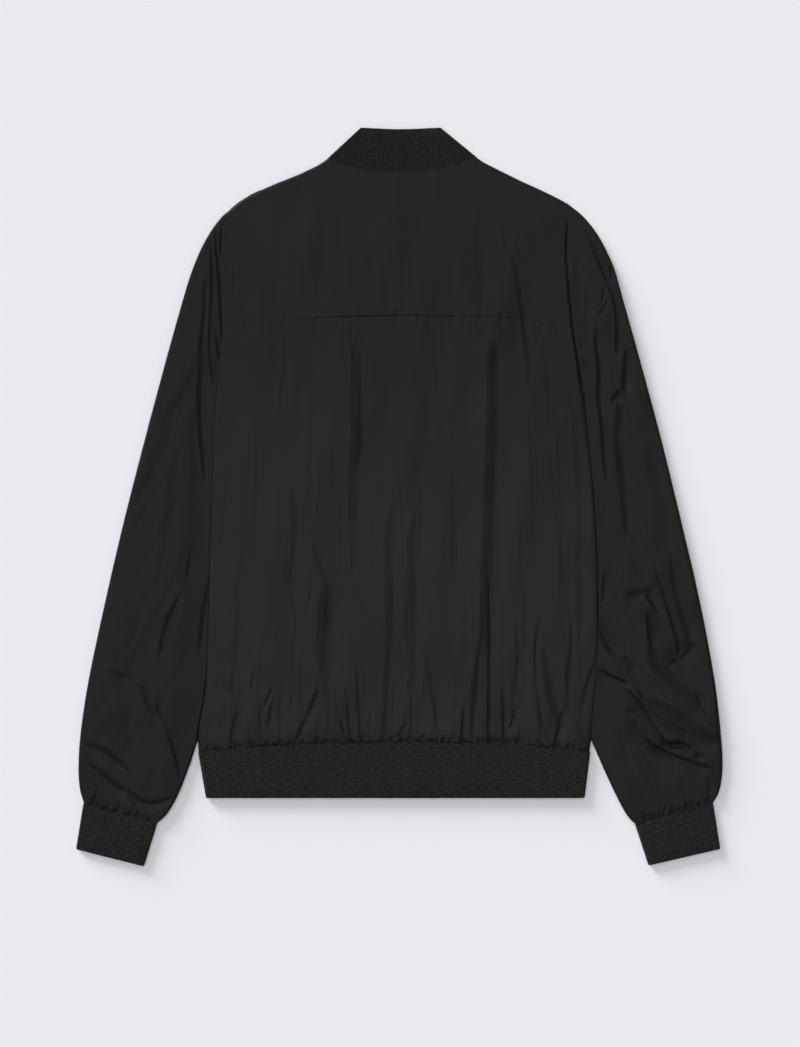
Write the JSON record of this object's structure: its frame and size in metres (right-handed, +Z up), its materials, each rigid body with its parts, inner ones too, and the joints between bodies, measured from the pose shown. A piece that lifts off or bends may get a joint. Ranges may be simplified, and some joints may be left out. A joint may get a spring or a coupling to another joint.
{
  "type": "bomber jacket",
  "caption": "Zipped bomber jacket with a back yoke, full sleeves and rib-knit collar, cuffs and waistband, laid flat on its front.",
  "frame": {"origin": "centre of the footprint on the surface that the jacket lies on", "axes": "+Y runs from the hem to the collar, +Z points up through the jacket's back, -X is the wearer's left"},
  "size_m": [0.6939, 0.7929, 0.0086],
  "materials": {
    "shell": "black twill-backed polyester, smooth face with a soft sheen",
    "rib": "black rib knit, matte",
    "tape": "black woven tape, matte",
    "metal": "black nickel, satin"
  },
  "bodies": {
    "root": {"back_lower": "shell", "back_yoke": "shell", "front_left": "shell", "front_right": "shell", "sleeve_left": "shell", "sleeve_right": "shell", "cuff_left": "rib", "cuff_right": "rib", "waistband": "rib", "collar": "rib", "zip_tape_left": "tape", "zip_tape_right": "tape", "zip_chain": "metal", "zip_slider": "metal"},
    "pull": {"zip_pull": "metal"}
  },
  "joints": [
    {"name": "pull_swing", "type": "hinge", "parent": "root", "child": "pull", "pos_m": [0, 0.262, 0.002], "axis": [1, 0, 0], "range_deg": [0, 160]}
  ]
}
